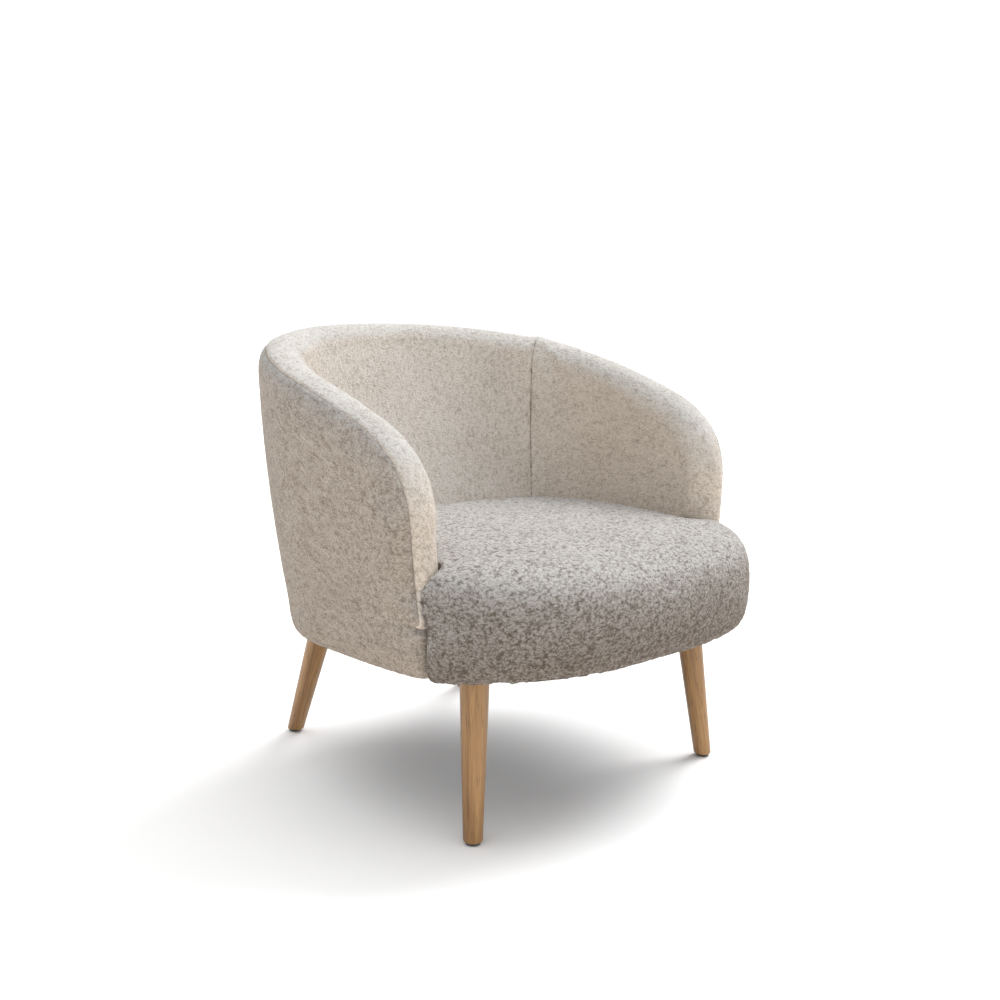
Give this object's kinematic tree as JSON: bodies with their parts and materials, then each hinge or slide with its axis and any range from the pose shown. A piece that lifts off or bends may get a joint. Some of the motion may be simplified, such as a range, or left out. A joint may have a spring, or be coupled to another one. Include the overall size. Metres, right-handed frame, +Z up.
{
  "type": "upholstered armchair",
  "caption": "Low upholstered tub armchair with a curved back and arms in one sweep, a tight rounded seat and splayed tapered wooden legs.",
  "frame": {"origin": "on the floor under the middle of the chair's bounding box", "axes": "+Z up, -Y the way the sitter faces, +X the right-hand side as seen from the front"},
  "size_m": [0.7206, 0.7365, 0.72],
  "materials": {
    "boucle": "curly looped boucle, undyed wool colour",
    "dust_cloth": "thin black non-woven cloth",
    "foam": "open-cell polyurethane foam",
    "wadding": "white polyester wadding",
    "oak": "lacquered oak, grain along the leg",
    "nylon": "dark moulded nylon",
    "steel": "zinc-plated steel",
    "insert": "plain brass",
    "webbing": "woven elastic webbing",
    "pine": "planed softwood",
    "plywood": "cut plywood, layered edges"
  },
  "bodies": {
    "root": {"arm_cover_left": "boucle", "arm_cover_right": "boucle", "arm_foam_left": "foam", "arm_foam_right": "foam", "arm_front_panel_left": "plywood", "arm_front_panel_right": "plywood", "arm_top_rail_left": "plywood", "arm_top_rail_right": "plywood", "back_foam": "foam", "back_post_left": "plywood", "back_post_right": "plywood", "back_top_rail": "plywood", "base_ring": "plywood", "base_screw_front_left": "steel", "base_screw_front_right": "steel", "base_screw_rear_left": "steel", "base_screw_rear_right": "steel", "corner_block_front_left": "pine", "corner_block_front_right": "pine", "corner_block_rear_left": "pine", "corner_block_rear_right": "pine", "corner_post_left": "plywood", "corner_post_right": "plywood", "dust_cover": "dust_cloth", "glide_front_left": "nylon", "glide_front_right": "nylon", "glide_rear_left": "nylon", "glide_rear_right": "nylon", "hanger_bolt_front_left": "steel", "hanger_bolt_front_right": "steel", "hanger_bolt_rear_left": "steel", "hanger_bolt_rear_right": "steel", "inner_back_cover": "boucle", "leg_front_left": "oak", "leg_front_right": "oak", "leg_rear_left": "oak", "leg_rear_right": "oak", "outer_cover": "boucle", "outer_wadding": "wadding", "seat_cover": "boucle", "seat_foam": "foam", "seat_rail_front": "pine", "seat_rail_left": "pine", "seat_rail_rear": "pine", "seat_rail_right": "pine", "threaded_insert_front_left": "insert", "threaded_insert_front_right": "insert", "threaded_insert_rear_left": "insert", "threaded_insert_rear_right": "insert", "web_strap_cross_1": "webbing", "web_strap_cross_2": "webbing", "web_strap_cross_3": "webbing", "web_strap_cross_4": "webbing", "web_strap_long_1": "webbing", "web_strap_long_2": "webbing", "web_strap_long_3": "webbing", "web_strap_long_4": "webbing"}
  },
  "joints": []
}
